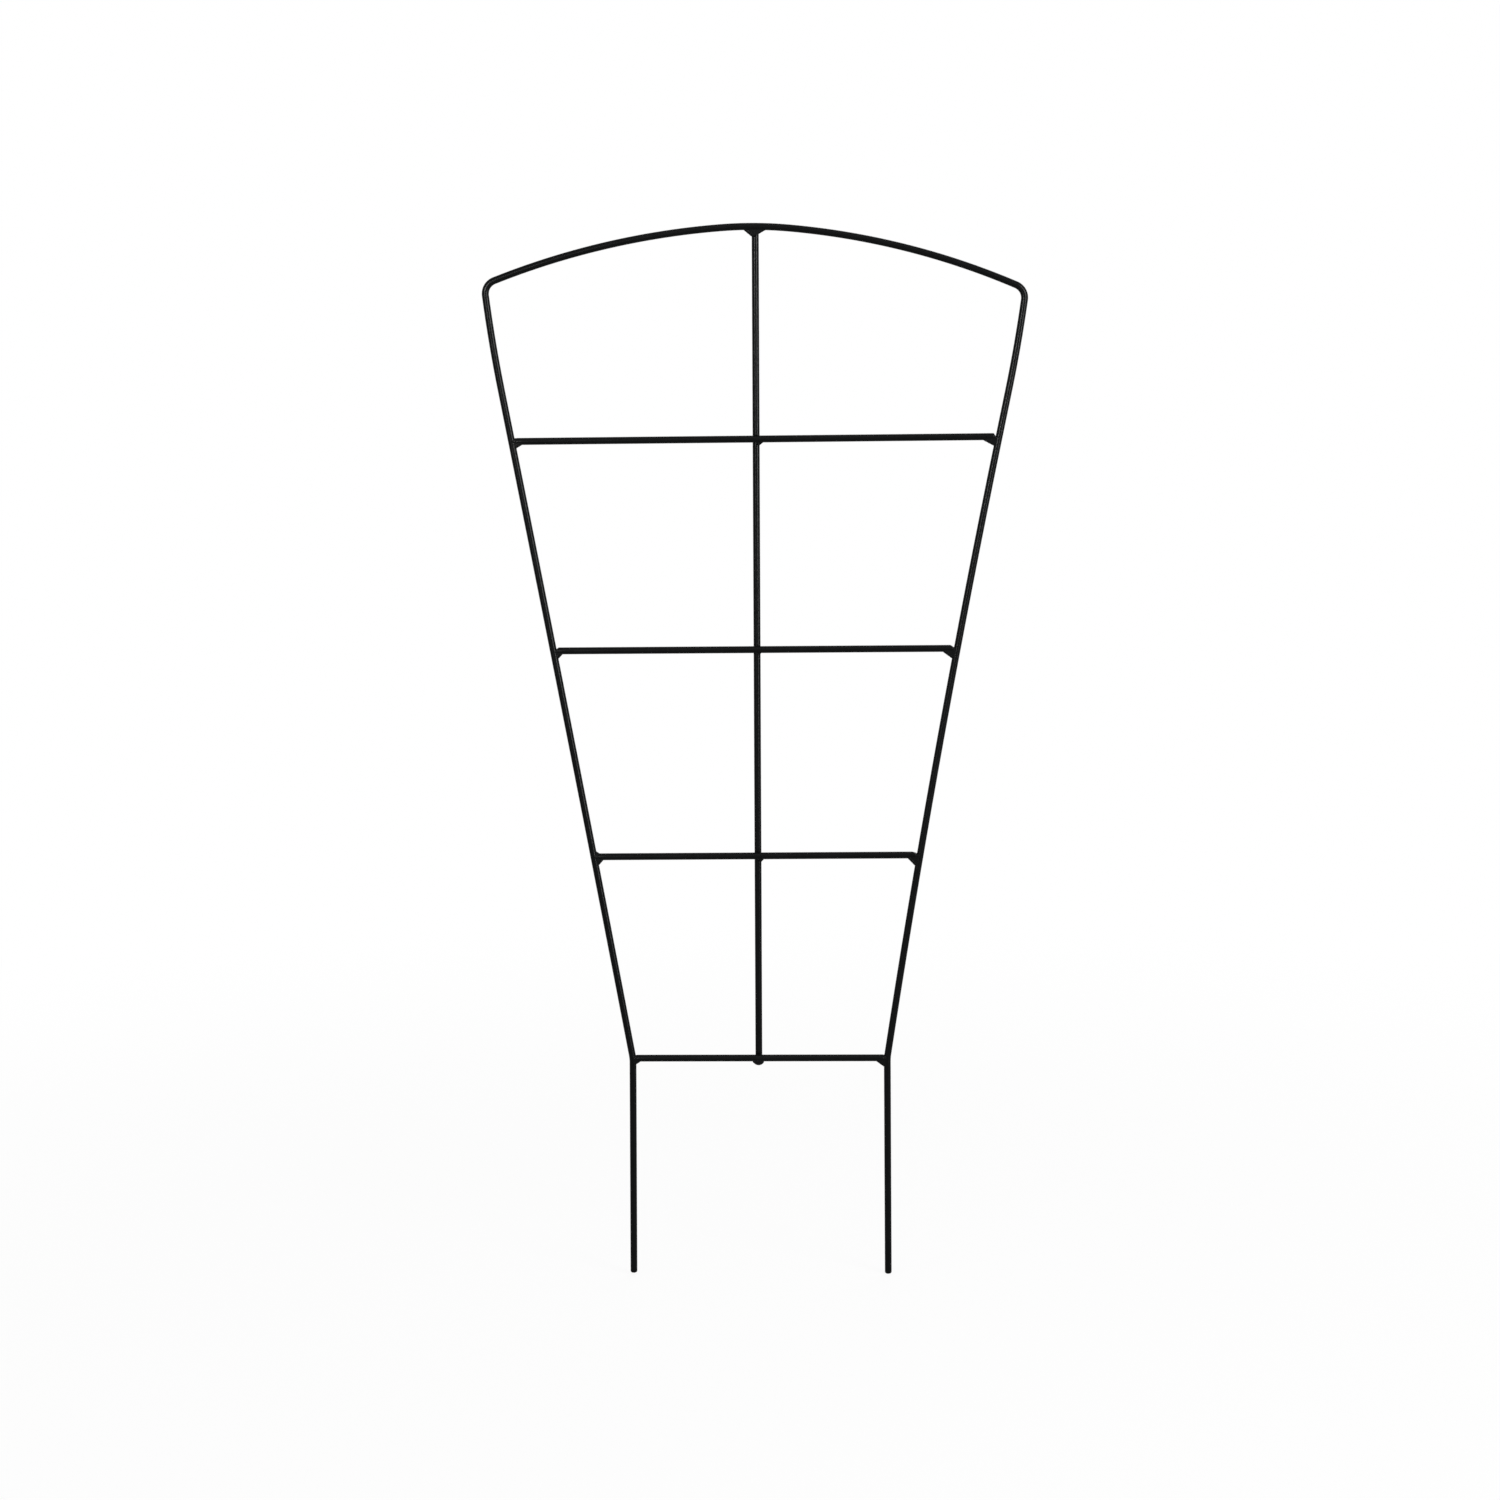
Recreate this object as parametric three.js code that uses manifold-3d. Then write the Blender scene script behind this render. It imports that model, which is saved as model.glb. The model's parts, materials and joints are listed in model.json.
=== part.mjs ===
// Fan trellis for climbing plants, of round steel wire, welded and coated black.
// One wire makes the hoop: two straight legs that go into the soil, two rails that flare upwards, two tight
// shoulders and a shallow arch. Four crossbars lie between the rails, in the hoop's plane, and one upright
// lies behind them. A bead of weld metal holds the wires together wherever they meet.
// Millimetres, +Z up, +X to the right and +Y to the back. The origin is midway between the legs on the
// centreline of the bottom crossbar, which lies at the soil line when the legs are pushed home.

import * as THREE from 'three';
import { mergeVertices } from 'three/addons/utils/BufferGeometryUtils.js';
import Module from 'manifold-3d';

// Wire stock and its cut ends
const wireDiameter = 5;
const wireRadius = wireDiameter / 2;
const barEdgeRadius = 0.8;
const legEdgeRadius = 1.4;
const seatGap = 0.3;

// Crossbars
const barPitch = 150;

// Hoop: reaches are measured from the middle plane to the wire's centreline, and rises from the top crossbar.
// It was bent by hand, so its two sides differ a little.
const leftRail = {
  legLength: 162,
  tipReach: 93.9,
  footReach: 92.6,
  topReach: 172.9,
  railBow: 0.5,
  shoulderFlare: 17.3,
  shoulderRise: 109.2,
  flankBulge: 8.3,
};
const rightRail = {
  legLength: 163.5,
  tipReach: 93.3,
  footReach: 92.6,
  topReach: 171.4,
  railBow: 2.9,
  shoulderFlare: 18.4,
  shoulderRise: 103.8,
  flankBulge: 9.3,
};
const archRise = 149;
const crownRadius = 600;
const shoulderRadius = 10;
const footRadius = 30;

// Upright: how far it runs past the middle of the wire that it meets, at the arch and at the bottom crossbar,
// and how far to the right of the middle plane its head and its foot stand
const uprightTopOverrun = 1;
const uprightBottomOverrun = 2.8;
const uprightHeadDrift = 0.3;
const uprightFootDrift = -0.9;

// Beads at the crossbars' ends: a fillet as thick as beadThickness lies under the bar. Its run along the bar
// and its drop down the rail are shares of beadSize, as laid by hand at each end.
const beadSize = 6;
const beadThickness = 4.8;
const beadEdge = 0.9;

// Beads where the upright crosses: a rounded blob in the corner between bar and upright. Its extents and its
// place, along X, Y and Z, are shares of blobSize. Under the bottom crossbar it is a ball round the
// upright's end.
const blobSize = 5.6;

// The crossbars, from the bottom one to the top one: how much higher each was welded at its right end than at
// its left one, and its beads
const crossings = [
  {
    name: 'bottom',
    rightRise: -0.5,
    left: { runShare: 0.47, dropShare: 0.3 },
    right: { runShare: 0.89, dropShare: 0.66 },
    blob: { extentShares: [1.46, 1.46, 1.3], placeShares: [-0.06, 0.47, -0.33] },
  },
  {
    name: 'lower',
    rightRise: 0.2,
    left: { runShare: 0.71, dropShare: 0.6 },
    right: { runShare: 1.06, dropShare: 0.88 },
    blob: { extentShares: [0.95, 0.9, 0.95], placeShares: [0.31, 0.25, -0.4] },
  },
  {
    name: 'upper',
    rightRise: 0.3,
    left: { runShare: 0.67, dropShare: 0.52 },
    right: { runShare: 1.3, dropShare: 0.78 },
    blob: { extentShares: [0.82, 0.85, 0.82], placeShares: [0, 0.25, -0.42] },
  },
  {
    name: 'top',
    rightRise: 1.4,
    left: { runShare: 0.8, dropShare: 0.38 },
    right: { runShare: 1.45, dropShare: 0.65 },
    blob: { extentShares: [1, 0.9, 1], placeShares: [0.36, 0.25, -0.39] },
  },
];

// Web under the arch: toes out along the arch and drops down the upright, from where their axes cross
const webLeftToe = 8.2;
const webRightToe = 7.6;
const webLeftDrop = 7.7;
const webRightDrop = 5.2;
const webFront = 1.6;
const webBack = 4.6;

// Coat: near-black satin powder over wires and beads
const coatColour = 0x17191a;
const wireRoughness = 0.42;
const beadRoughness = 0.5;

// Fineness of the faceted surfaces
const chordError = 0.05;
const sectionSides = 16;
const edgeSteps = 3;
const blobSegments = 14;

const sides = {
  left: { sign: -1, rail: leftRail },
  right: { sign: 1, rail: rightRail },
};
const topBarHeight = barPitch * (crossings.length - 1);
const archHeight = topBarHeight + archRise;
const uprightBack = wireDiameter + seatGap;

const wasm = await Module();
wasm.setup();

const point = (x, z) => new THREE.Vector3(x, 0, z);

// A closed geometry as a solid, and a solid as a geometry
function solidOf(geometry) {
  const bare = geometry.clone();
  bare.deleteAttribute('normal');
  bare.deleteAttribute('uv');
  const merged = mergeVertices(bare);
  const vertProperties = new Float32Array(merged.attributes.position.array);
  const triVerts = new Uint32Array(merged.index.array);
  return new wasm.Manifold(new wasm.Mesh({ numProp: 3, vertProperties, triVerts }));
}

function geometryOf(solid) {
  const { vertProperties, triVerts } = solid.getMesh();
  const geometry = new THREE.BufferGeometry();
  geometry.setAttribute('position', new THREE.BufferAttribute(vertProperties, 3));
  geometry.setIndex(new THREE.BufferAttribute(triVerts, 1));
  geometry.computeVertexNormals();
  return geometry;
}

// Points along part of a curve, close enough together that no chord strays further than chordError
function pointsAlong(curve, start, end) {
  const chordMiddle = curve.getPointAt(start).add(curve.getPointAt(end)).multiplyScalar(1 / 2);
  const stray = chordMiddle.distanceTo(curve.getPointAt((start + end) / 2));
  const steps = Math.max(1, Math.ceil(Math.sqrt(stray / chordError)));
  const points = [];
  for (let step = 0; step <= steps; step += 1) {
    points.push(curve.getPointAt(start + ((end - start) * step) / steps));
  }
  return points;
}

// A round bend from one point to another, tangent to the wire at both
function bendBetween(start, startTangent, end, endTangent) {
  const turn = startTangent.angleTo(endTangent);
  const radius = start.distanceTo(end) / (2 * Math.sin(turn / 2));
  const handle = (4 / 3) * Math.tan(turn / 4) * radius;
  const startHandle = start.clone().addScaledVector(startTangent, handle);
  const endHandle = end.clone().addScaledVector(endTangent, -handle);
  return new THREE.CubicBezierCurve3(start, startHandle, endHandle, end);
}

// The centreline of a wire: its stretches one after another, with a bend in place of each corner. Where the
// bend's radius is zero, the two stretches already run on smoothly.
function bentWire(stretches, bendRadii) {
  const corners = bendRadii.map((radius, index) => {
    const turn = stretches[index].getTangentAt(1).angleTo(stretches[index + 1].getTangentAt(0));
    return radius * Math.tan(turn / 2);
  });
  const trims = [0, ...corners, 0];
  const spans = stretches.map((stretch, index) => {
    const length = stretch.getLength();
    return { start: trims[index] / length, end: 1 - trims[index + 1] / length };
  });
  const points = [];
  stretches.forEach((stretch, index) => {
    const { start, end } = spans[index];
    points.push(...pointsAlong(stretch, start, end));
    if (bendRadii[index] === 0) {
      points.pop();
    } else if (index < bendRadii.length) {
      const next = stretches[index + 1];
      const nextStart = spans[index + 1].start;
      const bend = bendBetween(
        stretch.getPointAt(end),
        stretch.getTangentAt(end),
        next.getPointAt(nextStart),
        next.getTangentAt(nextStart),
      );
      points.push(...pointsAlong(bend, 0, 1).slice(1, -1));
    }
  });
  return points;
}

// A curve that an extrusion follows ring by ring: one ring at each of its points
class StationCurve extends THREE.Curve {
  constructor(stations) {
    super();
    this.stations = stations;
    this.last = stations.length - 1;
  }

  getPointAt(share, target = new THREE.Vector3()) {
    return target.copy(this.stations[Math.round(share * this.last)]);
  }

  getTangentAt(share, target = new THREE.Vector3()) {
    const index = Math.round(share * this.last);
    const before = this.stations[Math.max(index - 1, 0)];
    const after = this.stations[Math.min(index + 1, this.last)];
    return target.subVectors(after, before).normalize();
  }
}

// Round wire along a centreline, with flat ends
function wireGeometry(centreline, radius) {
  const section = new THREE.Shape().absarc(0, 0, radius, 0, 2 * Math.PI);
  const extrudePath = new StationCurve(centreline);
  return new THREE.ExtrudeGeometry(section, {
    steps: centreline.length - 1,
    curveSegments: sectionSides / 2,
    extrudePath,
  });
}

// The rounded edge of a cut end, as stations: each has a depth from the end and a ring radius
function edgeStations(edgeRadius) {
  const stations = [];
  for (let step = 0; step <= edgeSteps; step += 1) {
    const angle = (Math.PI / 2) * (step / edgeSteps);
    stations.push({
      depth: edgeRadius * (1 - Math.cos(angle)),
      radius: wireRadius - edgeRadius * (1 - Math.sin(angle)),
    });
  }
  return stations;
}

// Wire as the object has it: square-cut ends whose edges the coat rounds
function cutWireGeometry(centreline, edgeRadius) {
  const stations = edgeStations(edgeRadius);
  const ends = [centreline, [...centreline].reverse()].map(([end, next]) => ({
    end,
    inwards: next.clone().sub(end).normalize(),
  }));
  const [head, tail] = ends.map(({ end, inwards }) =>
    stations.map(({ depth }) => end.clone().addScaledVector(inwards, depth)));
  const geometry = wireGeometry([...head, ...centreline.slice(1, -1), ...tail.reverse()], wireRadius);
  const vertices = geometry.attributes.position;
  const vertex = new THREE.Vector3();
  const axisPoint = new THREE.Vector3();
  for (let index = 0; index < vertices.count; index += 1) {
    for (const { end, inwards } of ends) {
      vertex.fromBufferAttribute(vertices, index);
      const depth = vertex.clone().sub(end).dot(inwards);
      axisPoint.copy(end).addScaledVector(inwards, depth);
      const tolerance = edgeRadius / 100;
      const station = stations.find((candidate) => Math.abs(candidate.depth - depth) < tolerance);
      if (station && vertex.distanceTo(axisPoint) < wireDiameter) {
        vertex.sub(axisPoint).setLength(station.radius).add(axisPoint);
        vertices.setXYZ(index, vertex.x, vertex.y, vertex.z);
      }
    }
  }
  geometry.computeVertexNormals();
  return geometry;
}

// The space round a wire that its neighbours keep clear of, which runs on past the wire's ends
function clearanceOf(centreline, overrun) {
  const ends = [centreline, [...centreline].reverse()].map(([end, next]) =>
    end.clone().addScaledVector(end.clone().sub(next).normalize(), overrun));
  return solidOf(wireGeometry([ends[0], ...centreline.slice(1, -1), ends[1]], wireRadius + seatGap));
}

// How far a rail's centreline is from the middle plane, at a height between the bottom and the top crossbar
function railReach({ footReach, topReach, railBow }, height) {
  const share = Math.max(height, 0) / topBarHeight;
  return footReach + (topReach - footReach) * share - 4 * railBow * share * (1 - share);
}

// One side of the hoop, from the crown down to the leg's tip
function hoopSide({ sign, rail: size }) {
  const crown = point(0, archHeight);
  const shoulder = point(sign * (size.topReach + size.shoulderFlare), topBarHeight + size.shoulderRise);
  const railTop = point(sign * size.topReach, topBarHeight);
  const railFoot = point(sign * size.footReach, 0);
  const legTip = point(sign * size.tipReach, -size.legLength);

  const flankMiddle = crown.clone().add(shoulder).multiplyScalar(1 / 2);
  const alongFlank = shoulder.clone().sub(crown).normalize();
  const offFlank = point(-alongFlank.z * sign, alongFlank.x * sign);
  const flank = new THREE.QuadraticBezierCurve3(
    crown,
    flankMiddle.addScaledVector(offFlank, 2 * size.flankBulge),
    shoulder,
  );

  const slope = (size.topReach - size.footReach + 4 * size.railBow) / topBarHeight;
  const rise = size.shoulderRise;
  const flare = new THREE.CubicBezierCurve3(
    shoulder,
    point(sign * (size.topReach + (slope * rise * 2) / 3), topBarHeight + (rise * 2) / 3),
    point(sign * (size.topReach + (slope * rise) / 3), topBarHeight + rise / 3),
    railTop,
  );

  const middleReach = (size.topReach + size.footReach) / 2 - 2 * size.railBow;
  const railMiddle = point(sign * middleReach, topBarHeight / 2);
  const rail = new THREE.QuadraticBezierCurve3(railTop, railMiddle, railFoot);
  const leg = new THREE.LineCurve3(railFoot, legTip);
  return [flank, flare, rail, leg];
}

// The same stretch of wire run the other way
function reversed(curve) {
  const turned = curve.clone();
  if (curve.isLineCurve3) {
    turned.v1.copy(curve.v2);
    turned.v2.copy(curve.v1);
  } else if (curve.isQuadraticBezierCurve3) {
    turned.v0.copy(curve.v2);
    turned.v2.copy(curve.v0);
  } else {
    turned.v0.copy(curve.v3);
    turned.v1.copy(curve.v2);
    turned.v2.copy(curve.v1);
    turned.v3.copy(curve.v0);
  }
  return turned;
}

const rightStretches = hoopSide(sides.right);
const leftStretches = hoopSide(sides.left).map(reversed).reverse();
const hoopLine = bentWire(
  [...leftStretches, ...rightStretches],
  [footRadius, 0, shoulderRadius, crownRadius, shoulderRadius, 0, footRadius],
);

// How far a crossbar reaches at one side: cut square, it stops where its lower corner comes up to the rail
function barReach(rail, height) {
  const low = height - wireRadius;
  const slope = (railReach(rail, height) - railReach(rail, low)) / wireRadius;
  return railReach(rail, low) - wireRadius * Math.hypot(1, slope) - seatGap;
}

// A crossbar's tilt about Y, its height at each end, and its centreline in its own frame
function barPlan(height, rightRise) {
  const endHeight = ({ sign }) => height + (sign * rightRise) / 2;
  const leftReach = barReach(leftRail, endHeight(sides.left));
  const rightReach = barReach(rightRail, endHeight(sides.right));
  return {
    tilt: -Math.atan2(rightRise, leftReach + rightReach),
    endHeight,
    line: [point(-leftReach, 0), point(rightReach, 0)],
  };
}

// How far the upright's centreline stands to the right of the middle plane at a height
function uprightDrift(height) {
  return uprightFootDrift + ((uprightHeadDrift - uprightFootDrift) * height) / archHeight;
}

const uprightLine = [-uprightBottomOverrun, archHeight + uprightTopOverrun].map((height) =>
  point(uprightDrift(height), height).setY(uprightBack));

const hoopClearance = clearanceOf(hoopLine, seatGap);
const uprightClearance = clearanceOf(uprightLine, seatGap);

// A solid as it lies in the frame of a crossbar at some height and tilt
function inBarFrame(solid, height, tilt) {
  return solid.translate([0, 0, -height]).rotate([0, THREE.MathUtils.radToDeg(-tilt), 0]);
}

// An outline in the hoop's plane, given as points, made as thick as asked and rounded along its edges
function plateOf(outline, front, back) {
  const shape = new THREE.Shape(outline.map(({ x, z }) => new THREE.Vector2(x, z)));
  const plate = new THREE.ExtrudeGeometry(shape, {
    depth: front + back - 2 * beadEdge,
    bevelThickness: beadEdge,
    bevelSize: beadEdge,
    bevelOffset: -beadEdge,
    bevelSegments: 2,
    steps: 1,
  });
  plate.rotateX(Math.PI / 2);
  plate.translate(0, back - beadEdge, 0);
  return plate;
}

// Fillet under one end of a crossbar, in the crossbar's own frame
function endBead({ sign, rail }, height, bead) {
  const railTurn = (railReach(rail, height) - railReach(rail, height - beadSize)) / beadSize;
  const inner = railReach(rail, height) - wireRadius;
  const run = beadSize * bead.runShare;
  const drop = beadSize * bead.dropShare;
  const root = point(sign * (inner + wireRadius), 0);
  const onBar = point(sign * (inner - run), 0);
  const toe = point(sign * (inner - run), -wireRadius);
  const heel = point(sign * (inner - railTurn * (wireRadius + drop)), -wireRadius - drop);
  const onRail = point(sign * (inner + wireRadius - railTurn * (wireRadius + drop)), -wireRadius - drop);
  return solidOf(plateOf([root, onBar, toe, heel, onRail], beadThickness / 2, beadThickness / 2));
}

// Blob in the corner between a crossbar and the upright behind it, in the crossbar's own frame
function crossingBead(height, blob) {
  const ball = new THREE.SphereGeometry(blobSize / 2, blobSegments, blobSegments);
  ball.scale(...blob.extentShares);
  ball.translate(...blob.placeShares.map((share) => blobSize * share));
  ball.translate(uprightDrift(height), 0, 0);
  return solidOf(ball);
}

// Web between the underside of the arch and the upright's top, in the frame of the point where they cross
function archBead() {
  const outline = [
    point(-webLeftToe, 0),
    point(-webLeftToe, -wireRadius),
    point(-wireRadius, -webLeftDrop),
    point(wireRadius, -webRightDrop),
    point(webRightToe, -wireRadius),
    point(webRightToe, 0),
  ];
  const plate = solidOf(plateOf(outline, webFront, webBack));
  const toHere = [-uprightHeadDrift, 0, -archHeight];
  const hoopHere = hoopClearance.translate(toHere);
  const uprightHere = uprightClearance.translate(toHere);
  return geometryOf(plate.subtract(hoopHere).subtract(uprightHere));
}

function pieceOf(name, geometry, roughness) {
  const material = new THREE.MeshStandardMaterial({ color: coatColour, roughness, metalness: 0 });
  const mesh = new THREE.Mesh(geometry, material);
  mesh.name = name;
  return mesh;
}

const trellis = new THREE.Group();
trellis.add(pieceOf('hoop', cutWireGeometry(hoopLine, legEdgeRadius), wireRoughness));
trellis.add(pieceOf('upright', cutWireGeometry(uprightLine, barEdgeRadius), wireRoughness));

crossings.forEach(({ name, rightRise, blob, ...endBeads }, index) => {
  const height = barPitch * index;
  const { tilt, endHeight, line } = barPlan(height, rightRise);
  const level = new THREE.Group();
  level.position.z = height;
  level.rotation.y = tilt;
  level.add(pieceOf(`${name}_crossbar`, cutWireGeometry(line, barEdgeRadius), wireRoughness));

  const barClearance = clearanceOf(line, wireDiameter);
  const hoopHere = inBarFrame(hoopClearance, height, tilt);
  for (const [sideName, side] of Object.entries(sides)) {
    const bead = endBead(side, endHeight(side), endBeads[sideName]).subtract(barClearance).subtract(hoopHere);
    level.add(pieceOf(`${name}_${sideName}_weld`, geometryOf(bead), beadRoughness));
  }
  const uprightHere = inBarFrame(uprightClearance, height, tilt);
  const centreBead = crossingBead(height, blob).subtract(barClearance).subtract(uprightHere);
  level.add(pieceOf(`${name}_centre_weld`, geometryOf(centreBead), beadRoughness));
  trellis.add(level);
});

const archWeld = pieceOf('arch_weld', archBead(), beadRoughness);
archWeld.position.set(uprightHeadDrift, 0, archHeight);
trellis.add(archWeld);

export default trellis;
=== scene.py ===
import json
import math
import random

import bpy
from mathutils import Matrix, Vector


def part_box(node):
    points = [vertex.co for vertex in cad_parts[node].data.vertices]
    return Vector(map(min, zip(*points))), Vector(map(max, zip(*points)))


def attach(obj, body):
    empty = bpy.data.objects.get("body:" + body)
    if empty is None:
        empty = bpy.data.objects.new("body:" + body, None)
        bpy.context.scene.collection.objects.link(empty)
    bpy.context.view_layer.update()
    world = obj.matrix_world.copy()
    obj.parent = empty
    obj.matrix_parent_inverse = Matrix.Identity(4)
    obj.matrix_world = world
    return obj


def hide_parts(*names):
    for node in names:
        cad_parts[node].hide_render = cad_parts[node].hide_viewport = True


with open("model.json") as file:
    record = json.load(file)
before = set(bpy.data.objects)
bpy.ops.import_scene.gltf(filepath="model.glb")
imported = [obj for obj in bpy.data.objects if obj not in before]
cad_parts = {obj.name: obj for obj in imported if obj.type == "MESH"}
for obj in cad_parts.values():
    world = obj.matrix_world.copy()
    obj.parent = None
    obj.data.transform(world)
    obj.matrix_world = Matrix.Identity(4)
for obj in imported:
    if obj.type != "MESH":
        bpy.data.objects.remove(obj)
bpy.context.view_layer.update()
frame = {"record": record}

# Hoop
# One round steel wire, cut square and bent in a jig from leg tip to leg tip: straight legs, bowed
# rails, two tight shoulders and a shallow arch. It is powder-coated black after it is welded.
hoop_low, hoop_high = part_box("hoop")
wire_radius = (hoop_high.y - hoop_low.y) / 2
wire_sides = 40
tip_edge = 0.0014
edge_steps = 6
rim_stretch = 0.006
arc_tolerance = 0.00001
fewest_bend_steps = 2
mounts = {mount["name"]: Vector(mount["pos_m"]) for mount in frame["record"]["mounts"]}
sides = {"left": -1, "right": 1}


def middle_of(node):
    """The middle of a solid's box."""
    low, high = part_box(node)
    return (low + high) / 2


# The two sides were bent by hand, and differ. A rail reaches out to top_reach at the top crossbar,
# and bows inwards. Its shoulder flares and rises from there, and the arch's flank bulges.
hand_bent = {
    "left": dict(top_reach=0.1729, bow=0.0005, flare=0.0172, rise=0.1092, bulge=0.0083),
    "right": dict(top_reach=0.1714, bow=0.0029, flare=0.0183, rise=0.1038, bulge=0.0087),
}
top_bar_height = middle_of("top_crossbar").z
foot_reach = 0.0926
foot_radius = 0.03
flare_straight_share = 1 / 3
shoulder_radius = 0.01

# The two flanks would meet at the crown. One bend rounds it, from crown_trim short of it on one
# side to as far on the other, and its top passes crown_drop under it.
crown_trim = 0.024
crown_drop = 0.0005
crown_height = hoop_high.z - wire_radius + crown_drop


def leaning(angle):
    """Unit vector in the hoop's plane, leaning to the right from straight up."""
    return Vector((math.sin(angle), 0, math.cos(angle)))


def lean_of(step):
    """The angle by which a step in the hoop's plane leans to the right."""
    return math.atan2(step.x, step.z)


def quarter_right(step):
    """A step in the hoop's plane, turned a quarter to the right."""
    return Vector((step.z, 0, -step.x))


def rail_leans(side_name):
    """How far one rail leans outwards at its foot and at its top."""
    size = hand_bent[side_name]
    step = Vector((size["top_reach"] - foot_reach, 0, top_bar_height))
    half_turn = 2 * math.atan(2 * size["bow"] / step.length)
    return lean_of(step) - half_turn, lean_of(step) + half_turn


def hoop_side(side_name):
    """One side's centreline, from leg tip to crown: the points where its bends start and end."""
    size = hand_bent[side_name]
    tip = mounts[f"{side_name}_leg_tip"].copy()
    tip.x = abs(tip.x)
    foot = Vector((foot_reach, 0, 0))
    rail_top = Vector((size["top_reach"], 0, top_bar_height))
    shoulder = rail_top + Vector((size["flare"], 0, size["rise"]))
    crown = Vector((0, 0, crown_height))
    foot_lean, top_lean = rail_leans(side_name)

    leg_lean = lean_of(foot - tip)
    foot_trim = foot_radius * math.tan((foot_lean - leg_lean) / 2)
    flare_start = rail_top + leaning(top_lean) * size["rise"] * flare_straight_share
    shoulder_lean = 2 * lean_of(shoulder - flare_start) - top_lean

    flank = crown - shoulder
    flank_half_turn = 2 * math.atan(2 * size["bulge"] / flank.length)
    leaving_lean = lean_of(flank) + flank_half_turn
    crown_lean = lean_of(flank) - flank_half_turn
    shoulder_trim = shoulder_radius * math.tan((shoulder_lean - leaving_lean) / 2)
    crown_chord_lean = crown_lean + flank_half_turn * crown_trim / flank.length
    points = [
        tip,
        tip + leaning(leg_lean) * rim_stretch,
        foot - leaning(leg_lean) * foot_trim,
        foot + leaning(foot_lean) * foot_trim,
        rail_top,
        flare_start,
        shoulder - leaning(shoulder_lean) * shoulder_trim,
        shoulder + leaning(leaving_lean) * shoulder_trim,
        crown - leaning(crown_chord_lean) * crown_trim,
    ]
    return [Vector((sides[side_name] * point.x, 0, point.z)) for point in points]


def settled():
    """The piece just added, once its place, turn and scale are in its mesh."""
    bpy.ops.object.transform_apply(location=True, rotation=True, scale=True)
    return bpy.context.object


class WireInJig:
    """A wire that grows from its first cut end. It is fed straight on, or bent round a pin."""

    def __init__(self, name, place, heading):
        self.place = place
        self.heading = heading.normalized()
        bpy.ops.object.select_all(action="DESELECT")
        bpy.ops.mesh.primitive_circle_add(
            vertices=wire_sides,
            radius=wire_radius,
            fill_type="NGON",
            location=place,
            rotation=self.heading.to_track_quat("Z", "Y").to_euler(),
        )
        self.wire = settled()
        self.wire.name = name
        self.wire.data.name = name
        bpy.ops.object.mode_set(mode="EDIT")
        bpy.ops.mesh.select_all(action="SELECT")

    def feed(self, end):
        """Feeds straight on, and leaves the end square to the way that it went."""
        bpy.ops.mesh.extrude_region_move(TRANSFORM_OT_translate={"value": end - self.place})
        way = (end - self.place).normalized()
        swing = lean_of(way) - lean_of(self.heading)
        bpy.ops.transform.rotate(value=-swing, orient_axis="Y", center_override=end)
        self.heading = way
        self.place = end

    def feed_to_cut(self, end):
        """Feeds on to a cut, with a ring near both ends that keeps the rims' rounding there."""
        start = self.place
        way = (end - start).normalized()
        for stop in (start + way * rim_stretch, end - way * rim_stretch, end):
            self.feed(stop)

    def bend(self, end):
        """Bends along the arc that leaves as the wire lies now and comes to the end point."""
        chord = end - self.place
        half_turn = math.remainder(lean_of(chord) - lean_of(self.heading), 2 * math.pi)
        radius = chord.length / 2 / math.sin(half_turn)

        # A step's chord strays from the arc by its radius times the square of its turn, over 8.
        step_turn = math.sqrt(8 * arc_tolerance / abs(radius))
        bpy.ops.mesh.spin(
            steps=max(fewest_bend_steps, math.ceil(2 * abs(half_turn) / step_turn)),
            angle=-2 * half_turn,
            center=self.place + quarter_right(self.heading) * radius,
            axis=(0, 1, 0),
        )
        self.heading = Matrix.Rotation(2 * half_turn, 3, "Y") @ self.heading
        self.place = end

    def finish_ends(self, edge_radius):
        """Rounds the rims of both cut ends, as the coat does, and leaves edit mode."""
        bpy.ops.mesh.select_all(action="DESELECT")
        bpy.ops.mesh.select_mode(type="FACE")
        bpy.ops.object.mode_set(mode="OBJECT")
        for face in self.wire.data.polygons:
            face.select = len(face.vertices) == wire_sides
        bpy.ops.object.mode_set(mode="EDIT")
        bpy.ops.mesh.bevel(offset=edge_radius, segments=edge_steps, affect="EDGES")
        bpy.ops.mesh.select_all(action="SELECT")
        bpy.ops.mesh.normals_make_consistent(inside=False)
        bpy.ops.object.mode_set(mode="OBJECT")
        bpy.ops.object.shade_smooth()
        return self.wire


left_side = hoop_side("left")
right_side = hoop_side("right")
jig = WireInJig("hoop_wire", left_side[0], left_side[1] - left_side[0])
feed, bend = jig.feed, jig.bend

# On each side: the tip, the leg, its bend, the rail, the start of the flare, the rest of the flare,
# the shoulder and the flank. One more bend between the sides rounds the crown.
moves = [feed, feed, bend, bend, feed, bend, bend, bend]
for move, end in zip([*moves, bend, *reversed(moves)], [*left_side[1:], *reversed(right_side)]):
    move(end)
hoop = jig.finish_ends(tip_edge)


class Value:
    """A socket of a shader, so that its maths reads as plain sums, with numbers on either side."""

    def __init__(self, finish, socket):
        self.finish = finish
        self.socket = socket

    def combined(self, operation, first, second):
        return self.finish.node("ShaderNodeMath", {"operation": operation}, {0: first, 1: second})

    def __add__(self, other):
        return self.combined("ADD", self, other)

    def __radd__(self, other):
        return self.combined("ADD", other, self)

    def __sub__(self, other):
        return self.combined("SUBTRACT", self, other)

    def __rsub__(self, other):
        return self.combined("SUBTRACT", other, self)

    def __mul__(self, other):
        return self.combined("MULTIPLY", self, other)

    def __rmul__(self, other):
        return self.combined("MULTIPLY", other, self)


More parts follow.
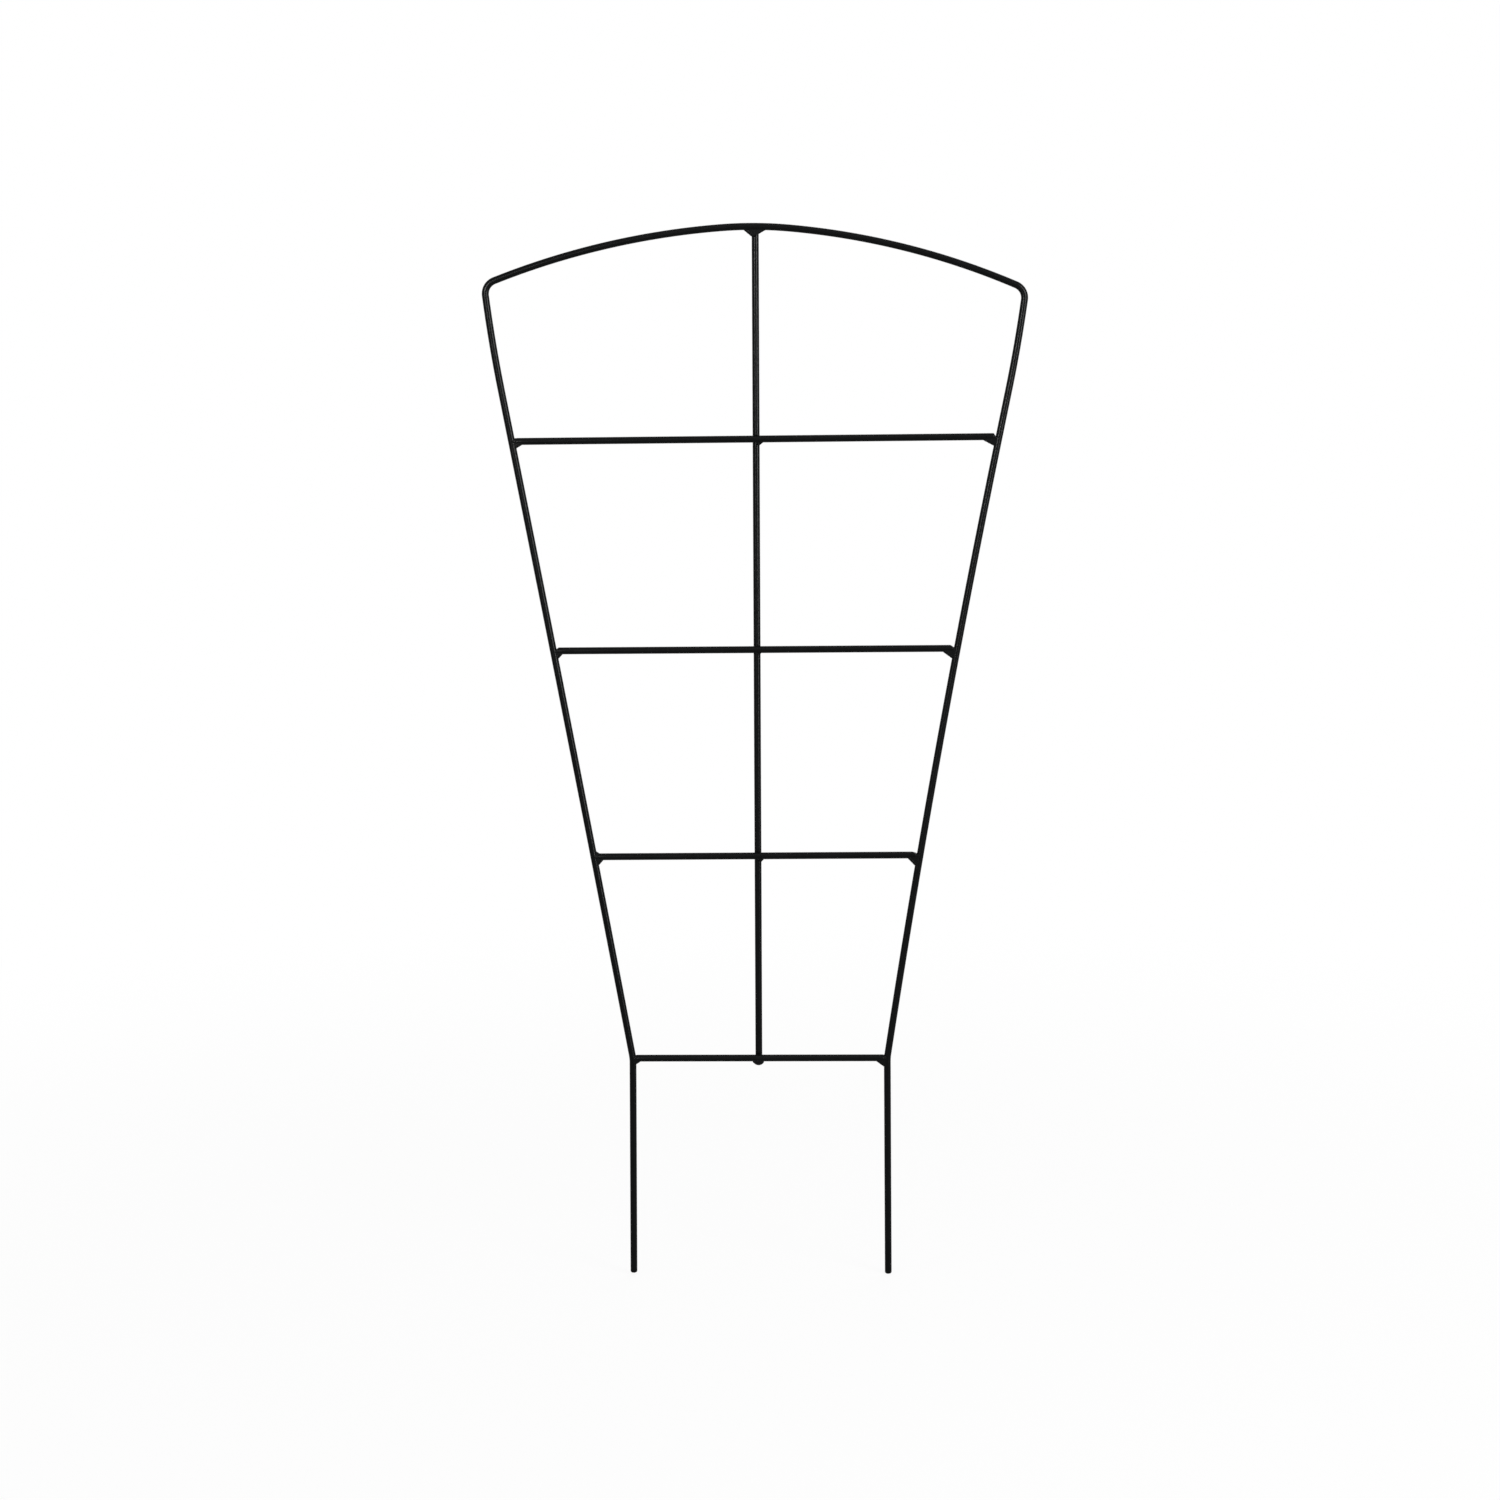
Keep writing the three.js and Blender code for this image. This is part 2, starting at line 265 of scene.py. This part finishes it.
class Finish:
    """The shader of a material, or of a world, under construction."""

    def __init__(self, owner):
        self.owner = owner
        owner.use_nodes = True
        self.tree = owner.node_tree
        self.tree.nodes.clear()

    def node(self, kind, settings, inputs, output=0):
        """Adds any node: its settings, then its sockets' values or links. Gives an output."""
        node = self.tree.nodes.new(kind)
        for setting, value in settings.items():
            setattr(node, setting, value)
        for socket, value in inputs.items():
            if isinstance(value, Value):
                self.tree.links.new(value.socket, node.inputs[socket])
            else:
                node.inputs[socket].default_value = value
        return Value(self, node.outputs[output]) if node.outputs else None

    def place(self):
        """Where on the object the surface is, in metres."""
        return self.node("ShaderNodeTexCoord", {}, {}, "Object")

    def noise(self, size, detail):
        """Soft noise from 0 to 1 whose blotches are about as wide as asked, in metres."""
        sockets = {"Vector": self.place(), "Scale": 1 / size, "Detail": detail}
        return self.node("ShaderNodeTexNoise", {}, sockets, "Fac")

    def blend(self, share, first, second):
        """The first colour where the share is 0, and the second where it is 1."""
        # A Mix node has several sockets of each name, so those for colours go by their numbers.
        sockets = {0: share, 6: first, 7: second}
        return self.node("ShaderNodeMix", {"data_type": "RGBA"}, sockets, 2)

    def raised(self, height, distance, **below):
        """The surface's normals, raised by up to the distance over those below."""
        sockets = {"Strength": 1, "Distance": distance, "Height": height, **below}
        return self.node("ShaderNodeBump", {}, sockets, "Normal")


def linear(hex_colour):
    """A written colour as a linear one, opaque, by the sRGB curve."""
    colour = []
    for shift in (16, 8, 0):
        channel = (hex_colour >> shift & 255) / 255
        steep = channel > 0.04045
        colour.append(((channel + 0.055) / 1.055) ** 2.4 if steep else channel / 12.92)
    return (*colour, 1)


cloud_size = 0.012
cloud_contrast = 1.8
cloud_shift = -0.4
dull_patch_size = 0.007
dull_patch_spread = 0.12
grain_size = 0.00028
grain_spread = 0.08
coat_specular = 0.04


def powder_coat(name, thick, thin, roughness, peel_size, peel_height, grain_height):
    """Satin black powder, baked on: clouds of two shades, dull patches and an orange peel."""
    coat = Finish(bpy.data.materials.new(name))
    clouds = coat.noise(cloud_size, detail=3) * cloud_contrast + cloud_shift
    peel = coat.noise(peel_size, detail=1)
    grain = coat.noise(grain_size, detail=1)
    dull = coat.noise(dull_patch_size, detail=2)
    dulled = roughness + (dull - 0.5) * dull_patch_spread + (grain - 0.5) * grain_spread
    peeled = coat.raised(peel, peel_height)
    sockets = {
        "Base Color": coat.blend(clouds, linear(thick), linear(thin)),
        "Roughness": dulled,
        "Specular IOR Level": coat_specular,
        "Normal": coat.raised(grain, grain_height, Normal=peeled),
    }
    shader = coat.node("ShaderNodeBsdfPrincipled", {}, sockets)
    coat.node("ShaderNodeOutputMaterial", {}, {"Surface": shader})
    return coat.owner


def cover(piece, coat):
    """Gives a piece one coat all over."""
    piece.data.materials.clear()
    piece.data.materials.append(coat)


wire_coat = powder_coat(
    "wire_coat",
    thick=0x060707,
    thin=0x0b0c0d,
    roughness=0.28,
    peel_size=0.0013,
    peel_height=0.00005,
    grain_height=0.000004,
)
cover(hoop, wire_coat)
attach(hoop, "root")
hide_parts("hoop")

# Upright
# One straight length of the same coated steel wire, cut square. It stands behind the crossbars and
# the arch, is welded to each of them, and leans a little to the right.
upright_low, upright_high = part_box("upright")
upright_edge = 0.0008
upright_foot = Vector((upright_low.x + wire_radius, middle_of("upright").y, upright_low.z))
upright_head = Vector((upright_high.x - wire_radius, middle_of("upright").y, upright_high.z))


def upright_at(height):
    """The point of the upright's centreline at a height."""
    share = (height - upright_foot.z) / (upright_head.z - upright_foot.z)
    return upright_foot.lerp(upright_head, share)


jig = WireInJig("upright_wire", upright_foot, upright_head - upright_foot)
jig.feed_to_cut(upright_head)
upright = jig.finish_ends(upright_edge)
cover(upright, wire_coat)
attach(upright, "root")
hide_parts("upright")

# Crossbars
# Four straight lengths of the same wire, cut square to lie between the rails and welded to them.
# The arc has melted back some upper corners of their ends, most of all on the right.
levels = ("bottom", "lower", "upper", "top")
bar_edge = 0.0006
right_rises = {"bottom": -0.0005, "lower": 0.0002, "upper": 0.0003, "top": 0.0014}

# How far each corner has melted back along the bar, and how far down its end.
melted_corners = {
    ("upper", "left"): (0.0003, 0.0003),
    ("lower", "right"): (0.0023, 0.0010),
    ("upper", "right"): (0.0016, 0.0012),
    ("top", "right"): (0.0004, 0.0007),
}
melted_skin = 0.00015
melted_crease = math.radians(30)
end_block_radii = 2
cut_tolerance = 0.0000001
all_round = Vector((1, 1, 1))


def bar_end(level, side_name):
    """The middle of a crossbar's cut end."""
    low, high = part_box(f"{level}_crossbar")
    end = (low + high) / 2
    end.x = high.x if sides[side_name] > 0 else low.x
    end.z += sides[side_name] * right_rises[level] / 2
    return end


def choose(*pieces):
    """Leaves only these pieces selected, the first of them active."""
    bpy.ops.object.select_all(action="DESELECT")
    for piece in pieces:
        piece.select_set(True)
    bpy.context.view_layer.objects.active = pieces[0]


def discard(*pieces):
    """Throws tools away once they have been used."""
    choose(*pieces)
    bpy.ops.object.delete()


def apply_modifier(piece, kind, **settings):
    """Works one modifier into a piece's mesh."""
    choose(piece)
    modifier = piece.modifiers.new(kind.lower(), kind)
    for setting, value in settings.items():
        setattr(modifier, setting, value)
    bpy.ops.object.modifier_apply(modifier=modifier.name)


def cut(piece, operation, tool):
    """Takes the tool's shape away from a piece, or keeps only what lies within it."""
    apply_modifier(piece, "BOOLEAN", operation=operation, solver="MANIFOLD", object=tool)


def block_between(low, high):
    """A block of metal with these two opposite corners."""
    bpy.ops.object.select_all(action="DESELECT")
    bpy.ops.mesh.primitive_cube_add(size=1, location=(low + high) / 2)
    bpy.context.object.scale = high - low
    return settled()


def trim(block, place, outwards):
    """Cuts off what lies outside a plane, and closes the cut."""
    choose(block)
    bpy.ops.object.mode_set(mode="EDIT")
    bpy.ops.mesh.select_all(action="SELECT")
    bpy.ops.mesh.bisect(
        plane_co=place,
        plane_no=outwards,
        use_fill=True,
        clear_outer=True,
        threshold=cut_tolerance,
    )
    bpy.ops.object.mode_set(mode="OBJECT")


def melt_plane(level, side_name, sunk=0):
    """A point and the outward direction of the slope that the arc has left on a bar's end."""
    back, down = melted_corners[level, side_name]
    outwards = Vector((sides[side_name] * down, 0, back)).normalized()
    corner = bar_end(level, side_name) + Vector((0, 0, wire_radius - down))
    return corner - outwards * sunk, outwards


def block_at_end(level, side_name):
    """A block round the last of a bar's end, over its whole thickness."""
    reach = all_round * wire_radius * end_block_radii
    return block_between(bar_end(level, side_name) - reach, bar_end(level, side_name) + reach)


crossbars = {}
for level in levels:
    left_end = bar_end(level, "left")
    right_end = bar_end(level, "right")
    jig = WireInJig(f"{level}_crossbar_wire", left_end, right_end - left_end)
    jig.feed_to_cut(right_end)
    crossbar = jig.finish_ends(bar_edge)
    for side_name in sides:
        if (level, side_name) in melted_corners:
            wedge = block_at_end(level, side_name)
            place, outwards = melt_plane(level, side_name, melted_skin)
            trim(wedge, place, -outwards)
            cut(crossbar, "DIFFERENCE", wedge)
            discard(wedge)
            choose(crossbar)
            bpy.ops.object.shade_smooth_by_angle(angle=melted_crease)
    crossbars[level] = crossbar
    cover(crossbar, wire_coat)
    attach(crossbar, "root")
    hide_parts(f"{level}_crossbar")

# End welds
# A bead of weld metal in the corner under each crossbar's end, laid with an electric arc and coated
# with the wires. It washes over the bar's cut end, in ripples, with some spatter round it.
bead_front = -0.0022
bead_back = 0.0022
bead_widths = (0.0043, 0.0048)
fillet_rounding = 0.0014
fillet_rounding_share = 0.3
rounding_steps = 4
parallel_tolerance = 0.01
upper_fillets = {("lower", "left"): (0.0019, 0.0014)}
upper_fillet_front = -0.0015
upper_fillet_back = 0.0015

# A fillet has a ripple for each pulse of the arc. Shares are of the slope's length, of the ripple's
# own depth and of the distance between two ripples.
ripples = 3
ripple_depth_shares = (0.34, 0.44)
ripple_sunk_share = 0.45
ripple_length_share = 1.4
ripple_sway = 0.0001

# A collar of metal fills the seat of a bar's end on the rail, from a little way back along the bar.
seat_gap = 0.0003
collar_lap = 0.0008
collar_sunk = 0.00012

# Spatter lies on the wires' sides towards the bead, on the front twice as often as on the back.
spatter_sizes = (0.00045, 0.0007)
spatter_reach = 0.0045
spatter_turns = (math.radians(33), math.radians(62))
spatter_facings = (-1, -1, 1)
bar_spatter = 3
rail_spatter = 2

# The metal is fused round the wires' cores, which lie skin_depth under their surfaces. Its skin has
# this grain, and is smoothed this often and this much.
skin_depth = 0.00007
skin_grain = 0.00017
skin_rounds = 10
skin_smoothing = 0.5

drop_roundness = 4
downwards = Vector((0, 0, -1))
chance = random.Random(11)
weld_coat = powder_coat(
    "weld_coat",
    thick=0x070808,
    thin=0x0d0e0f,
    roughness=0.34,
    peel_size=0.0009,
    peel_height=0.00012,
    grain_height=0.000010,
)


def rail_lean_at(side_name, height):
    """How far one rail leans outwards at a height."""
    foot_lean, top_lean = rail_leans(side_name)
    return foot_lean + (top_lean - foot_lean) * height / top_bar_height


def drop_of_metal(place, extents, lean=0):
    """A round drop, as wide as asked along X, Y and Z, then leaned about Y."""
    bpy.ops.object.select_all(action="DESELECT")
    bpy.ops.mesh.primitive_ico_sphere_add(subdivisions=drop_roundness, radius=0.5, location=place)
    bpy.context.object.scale = extents
    bpy.context.object.rotation_euler.y = lean
    return settled()


def round_off(block, along, radius):
    """Rounds the edges of a block that run along one direction."""
    choose(block)
    bpy.ops.object.mode_set(mode="EDIT")
    bpy.ops.mesh.select_all(action="DESELECT")
    bpy.ops.mesh.select_mode(type="EDGE")
    bpy.ops.object.mode_set(mode="OBJECT")
    for edge in block.data.edges:
        first, last = (block.data.vertices[corner].co for corner in edge.vertices)
        astray = (last - first).normalized().cross(along.normalized()).length
        edge.select = astray < parallel_tolerance
    bpy.ops.object.mode_set(mode="EDIT")
    bpy.ops.mesh.bevel(offset=radius, segments=rounding_steps, affect="EDGES")
    bpy.ops.object.mode_set(mode="OBJECT")


def fillet(toe, heel, root, front, back):
    """A rounded block in a corner between two wires, with a straight slope from toe to heel."""
    corners = (toe, heel, root)
    low = Vector((min(corner.x for corner in corners), front, min(corner.z for corner in corners)))
    high = Vector((max(corner.x for corner in corners), back, max(corner.z for corner in corners)))
    block = block_between(low, high)
    slope = heel - toe
    outwards = quarter_right(slope)
    if outwards.dot(root - toe) > 0:
        outwards.negate()
    trim(block, toe, outwards)
    round_off(block, slope, min(fillet_rounding, slope.length * fillet_rounding_share))
    return block


def ripples_on(toe, heel, root, middle, widths, count):
    """A row of flat drops across a fillet's slope, which stand out of it a little."""
    slope = heel - toe
    inwards = quarter_right(slope).normalized()
    if inwards.dot(root - toe) < 0:
        inwards.negate()
    drops = []
    for ripple in range(count):
        depth = slope.length * chance.uniform(*ripple_depth_shares)
        place = toe + slope * (ripple + 0.5) / count + inwards * depth * ripple_sunk_share
        place.y = middle + chance.uniform(-1, 1) * ripple_sway
        length = slope.length / count * ripple_length_share
        extents = Vector((depth, chance.uniform(*widths), length))
        drops.append(drop_of_metal(place, extents, math.atan2(slope.x, slope.z)))
    return drops


def spatter_on(start, step, towards, count):
    """Small drops that the arc has thrown on to a stretch of a wire, on its side to the bead."""
    drops = []
    for _ in range(count):
        turn = chance.uniform(*spatter_turns)
        facing = Vector((0, chance.choice(spatter_facings), 0))
        outwards = facing * math.cos(turn) + towards.normalized() * math.sin(turn)
        extents = all_round * chance.uniform(*spatter_sizes)
        place = start + step * chance.random() + outwards * wire_radius
        drops.append(drop_of_metal(place, extents))
    return drops


def fuse(name, metal, wires):
    """Melts drops and blocks of metal on to the wires, and keeps what stands out of the wires."""
    corners = [vertex.co for piece in metal for vertex in piece.data.vertices]
    reach = all_round * wire_radius
    low = Vector([min(corner[axis] for corner in corners) for axis in range(3)]) - reach
    high = Vector([max(corner[axis] for corner in corners) for axis in range(3)]) + reach
    stubs = []
    cores = []
    for wire in wires:
        stub = block_between(low - reach, high + reach)
        cut(stub, "INTERSECT", wire)
        stubs.append(stub)
        core = block_between(low, high)
        cut(core, "INTERSECT", stub)
        choose(core)
        bpy.ops.object.mode_set(mode="EDIT")
        bpy.ops.mesh.select_all(action="SELECT")
        bpy.ops.transform.shrink_fatten(value=-skin_depth)
        bpy.ops.object.mode_set(mode="OBJECT")
        cores.append(core)
    bead = metal[0]
    choose(*metal, *cores)
    bpy.ops.object.join()
    bead.name = name
    bead.data.name = name
    apply_modifier(bead, "REMESH", mode="VOXEL", voxel_size=skin_grain)
    apply_modifier(bead, "SMOOTH", factor=skin_smoothing, iterations=skin_rounds)
    for stub in stubs:
        cut(bead, "DIFFERENCE", stub)
    discard(*stubs)
    choose(bead)
    bpy.ops.object.shade_smooth()
    return bead


def rail_face(level, side_name, height):
    """The point of a rail's inner side at a height near one of its crossbars."""
    end = bar_end(level, side_name)
    lean = rail_lean_at(side_name, end.z) if height > 0 else 0
    clear = seat_gap + (height - end.z + wire_radius) * math.tan(lean)
    return Vector((end.x + sides[side_name] * clear, 0, height))


def collar_round(level, side_name):
    """Metal that fills the space between a bar's end and the rail, as round as the bar."""
    end = bar_end(level, side_name)
    side = Vector((sides[side_name], 0, 0))
    back = melted_corners.get((level, side_name), (0, 0))[0]
    start = end - side * (back + collar_lap)
    stop = end + side * wire_radius
    bpy.ops.object.select_all(action="DESELECT")
    bpy.ops.mesh.primitive_cylinder_add(
        vertices=wire_sides,
        radius=wire_radius - collar_sunk,
        depth=(stop - start).length,
        location=(start + stop) / 2,
        rotation=side.to_track_quat("Z", "Y").to_euler(),
    )
    rod = settled()
    if (level, side_name) not in melted_corners:
        return rod
    collar = block_at_end(level, side_name)
    trim(collar, *melt_plane(level, side_name))
    cut(collar, "INTERSECT", rod)
    discard(rod)
    return collar


def keep_weld(node, metal, wires):
    """Fuses a bead to its wires and coats it. It stands for the solid of the same weld."""
    weld = fuse(f"{node}_bead", metal, wires)
    cover(weld, weld_coat)
    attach(weld, "root")
    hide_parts(node)


for level in levels:
    for side_name, side in sides.items():
        node = f"{level}_{side_name}_weld"
        bead_low, bead_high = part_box(node)
        end = bar_end(level, side_name)
        root = end + Vector((side * wire_radius, 0, 0))
        toe = Vector((bead_low.x if side > 0 else bead_high.x, 0, end.z - wire_radius))
        heel = rail_face(level, side_name, bead_low.z)
        metal = [
            fillet(toe, heel, root, bead_front, bead_back),
            collar_round(level, side_name),
            *ripples_on(toe, heel, root, end.y, bead_widths, ripples),
        ]
        if (level, side_name) in upper_fillets:
            run, rise = upper_fillets[level, side_name]
            bar_top = rail_face(level, side_name, end.z + wire_radius)
            upper_toe = bar_top - Vector((side * run, 0, 0))
            upper_heel = rail_face(level, side_name, bar_top.z + rise)
            upper_faces = (upper_fillet_front, upper_fillet_back)
            metal.append(fillet(upper_toe, upper_heel, root, *upper_faces))
        inwards = Vector((-side, 0, 0))
        rail_lean = side * rail_lean_at(side_name, end.z) if heel.z > 0 else 0
        rail_middle = heel - inwards * wire_radius / math.cos(rail_lean)
        under_toe = Vector((toe.x, end.y, end.z))
        metal += spatter_on(under_toe, inwards * spatter_reach, downwards, bar_spatter)
        metal += spatter_on(rail_middle, -leaning(rail_lean) * spatter_reach, inwards, rail_spatter)
        keep_weld(node, metal, [hoop, crossbars[level]])

# Crossing welds
# A small fillet of weld metal where each crossbar lies on the upright, low on the right. The bottom
# one is a rough ball, built up over the upright's cut foot.
crossing_fillets = {"lower": (0.0017, 0.0019), "upper": (0.0004, 0.0008), "top": (0.0024, 0.0020)}
crossing_ripples = 2
crossing_width_shares = (0.9, 1)
crossing_lump = Vector((0.0030, 0.0034, 0.0022))
crossing_spatter = 2

# How far into the upright the fillet's root and its lump lie, as shares of the wire's radius.
crossing_root_share = 0.4
crossing_lump_share = 0.5
rightwards = Vector((1, 0, 0))
for level, (run, fall) in crossing_fillets.items():
    node = f"{level}_centre_weld"
    bead_low, bead_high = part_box(node)
    under_bar = middle_of(f"{level}_crossbar").z - wire_radius
    edge = upright_at(under_bar).x + wire_radius
    toe = Vector((edge + run, 0, under_bar))
    heel = Vector((edge, 0, under_bar - fall))
    root = Vector((edge - wire_radius * crossing_root_share, 0, under_bar + wire_radius))
    middle = (bead_low.y + bead_high.y) / 2
    lump_place = Vector((edge - wire_radius * crossing_lump_share, middle, under_bar))
    widths = [(bead_high.y - bead_low.y) * share for share in crossing_width_shares]
    spatter_start = middle_of(f"{level}_crossbar")
    metal = [
        fillet(toe, heel, root, bead_low.y, bead_high.y),
        drop_of_metal(lump_place, crossing_lump),
        *ripples_on(toe, heel, root, middle, widths, crossing_ripples),
        *spatter_on(spatter_start, rightwards * spatter_reach, downwards, crossing_spatter),
    ]
    keep_weld(node, metal, [crossbars[level], upright])

# Where each lump of the ball lies and how wide it is, as shares of the ball's own size.
ball_lumps = [
    ((0.02, -0.1, -0.04), 1.03),
    ((0.28, -0.2, 0.1), 0.5),
    ((-0.27, -0.18, -0.1), 0.52),
    ((0.08, -0.26, -0.24), 0.5),
    ((-0.12, -0.28, 0.14), 0.44),
    ((0.14, 0.12, -0.25), 0.54),
]
ball_low, ball_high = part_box("bottom_centre_weld")
ball_size = ball_high - ball_low
ball_spatter = 3
metal = []
for shares, size_share in ball_lumps:
    offset = Vector(share * size for share, size in zip(shares, ball_size))
    metal.append(drop_of_metal((ball_low + ball_high) / 2 + offset, ball_size * size_share))
spatter_start = middle_of("bottom_crossbar")
metal += spatter_on(spatter_start, rightwards * spatter_reach, downwards, ball_spatter)
keep_weld("bottom_centre_weld", metal, [crossbars["bottom"], upright])

# Arch weld
# A web of weld metal that fixes the upright's top to the underside of the arch, and runs longer
# down the upright's left side.
web_low, web_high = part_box("arch_weld")
web_front = -0.0013
web_back = 0.0043
web_right_drop = 0.0029
web_rounding = 0.0012
web_width_shares = (0.98, 1.06)
web_spatter = 3
web_upright_spatter = 1
web_middle = (web_front + web_back) / 2
web_widths = [(web_back - web_front) * share for share in web_width_shares]
arch_underside = hoop_high.z - 2 * wire_radius
left_toe = Vector((web_low.x, 0, arch_underside))
right_toe = Vector((web_high.x, 0, arch_underside))
left_heel = Vector((upright_at(web_low.z).x - wire_radius, 0, web_low.z))
right_heel = Vector((left_heel.x + 2 * wire_radius, 0, arch_underside - web_right_drop))
left_root = Vector((right_toe.x, 0, arch_underside + wire_radius))
right_root = Vector((0, 0, left_root.z))
web = fillet(left_toe, left_heel, left_root, web_front, web_back)
lower_faces = (right_toe - right_heel, right_heel - left_heel)
for face_run in lower_faces:
    trim(web, right_heel, quarter_right(face_run))
for along in (*lower_faces, rightwards, downwards):
    round_off(web, along, web_rounding)
under_arch = Vector((left_toe.x, 0, left_root.z))
metal = [
    web,
    *ripples_on(left_toe, left_heel, left_root, web_middle, web_widths, ripples),
    *ripples_on(right_toe, right_heel, right_root, web_middle, web_widths, ripples),
    *spatter_on(under_arch, right_toe - left_toe, downwards, web_spatter),
    *spatter_on(
        upright_at(web_low.z),
        downwards * spatter_reach,
        -rightwards,
        web_upright_spatter,
    ),
]
keep_weld("arch_weld", metal, [hoop, upright])

# Floor
# A wide sheet of plain pale paper under the leg tips. It shows white like the backdrop, and keeps
# the trellis's shadow near it.
floor_radius = 30
floor_sides = 96
pale_grey = (0.92, 0.92, 0.92, 1)
white = (1, 1, 1, 1)

# Near the trellis, a share of glow_near of what shows is the paper's own glow, and the rest is lit
# and takes the shadow. Further out all of it is glow, so that the paper fades into the backdrop.
glow_near = 0.9
fade_start = 0.3
fade_end = 1.3


def seen_itself(finish):
    """1 for what the camera sees directly, in gloss or through glass, and 0 for other light."""
    camera, gloss, glass = (
        finish.node("ShaderNodeLightPath", {}, {}, f"Is {ray} Ray")
        for ray in ("Camera", "Glossy", "Transmission")
    )
    return camera + gloss + glass


bpy.ops.object.select_all(action="DESELECT")
bpy.ops.mesh.primitive_circle_add(
    vertices=floor_sides,
    radius=floor_radius,
    fill_type="NGON",
    location=(0, 0, mounts["right_leg_tip"].z),
)
floor = bpy.context.object
floor.name = "floor"
paper = Finish(bpy.data.materials.new("floor_paper"))
from_middle = paper.node(
    "ShaderNodeVectorMath", {"operation": "LENGTH"}, {0: paper.place()}, "Value"
)
fade_sockets = {
    "Value": from_middle,
    "From Min": fade_start,
    "From Max": fade_end,
    "To Min": glow_near,
    "To Max": 1,
}
fade = paper.node("ShaderNodeMapRange", {"interpolation_type": "SMOOTHSTEP"}, fade_sockets)
lit = paper.node("ShaderNodeBsdfDiffuse", {}, {"Color": pale_grey})
glowing = paper.node("ShaderNodeEmission", {}, {"Color": white, "Strength": 1})
shown = paper.node("ShaderNodeMixShader", {}, {0: seen_itself(paper) * fade, 1: lit, 2: glowing})
paper.node("ShaderNodeOutputMaterial", {}, {"Surface": shown})
floor.data.materials.append(paper.owner)

# Studio
# A white room with large soft lamps. What is seen or mirrored of it is white, and it lights the
# wires less than that. Two upright strips of light show only in the gloss of the coat.
scene = bpy.context.scene
room_light = 0.35
room = Finish(bpy.data.worlds.new("white_room"))
room_sockets = {"Value": seen_itself(room), "To Min": room_light, "To Max": 1}
strength = room.node("ShaderNodeMapRange", {}, room_sockets)
background = room.node("ShaderNodeBackground", {}, {"Color": white, "Strength": strength})
room.node("ShaderNodeOutputWorld", {}, {"Surface": background})
scene.world = room.owner

trellis_middle = Vector((0, 0, 0.25))

# Each lamp's place, width, height and power.
lamps = {
    "key_lamp": (Vector((1.9, -1.9, 1.3)), 1.0, 1.6, 44),
    "fill_lamp": (Vector((-2.3, -1.7, 1.5)), 1.2, 1.6, 12),
    "top_lamp": (Vector((0.1, -1.3, 2.5)), 1.6, 0.8, 14),
    "back_lamp": (Vector((0.8, 2.2, 1.8)), 1.8, 1.2, 20),
    "right_strip": (Vector((1.8, -1.8, 0.82)), 0.22, 1.9, 165),
    "left_strip": (Vector((-1.15, -2.5, 0.85)), 0.15, 0.7, 120),
}
for name, (place, width, height, power) in lamps.items():
    light = bpy.data.lights.new(name, "AREA")
    light.shape = "RECTANGLE"
    light.size = width
    light.size_y = height
    light.energy = power
    lamp = bpy.data.objects.new(name, light)
    lamp.location = place
    lamp.rotation_euler = (trellis_middle - place).to_track_quat("-Z", "Y").to_euler()
    lamp.visible_diffuse = not name.endswith("strip")
    scene.collection.objects.link(lamp)

# Camera
# A long lens 2.4 m in front of the trellis, just higher than its arch and a little to the right. It
# looks down on the trellis's middle, and is rolled by less than a degree.
aim = Vector((-0.0058, 0, 0.2274))
distance = 2.4
tilt = math.radians(9.445)
turn = math.radians(0.595)
roll = math.radians(-0.397)
focal_length = 80.32
film_width = 36
lens = bpy.data.cameras.new("camera")
lens.lens = focal_length
lens.sensor_width = film_width
camera = bpy.data.objects.new("camera", lens)
scene.collection.objects.link(camera)
looking = Vector(
    (-math.sin(turn) * math.cos(tilt), math.cos(turn) * math.cos(tilt), -math.sin(tilt))
)
camera.matrix_world = (
    Matrix.Translation(aim - looking * distance)
    @ Matrix.Rotation(turn, 4, "Z")
    @ Matrix.Rotation(math.pi / 2 - tilt, 4, "X")
    @ Matrix.Rotation(roll, 4, "Z")
)
scene.camera = camera
scene.view_settings.view_transform = "Standard"
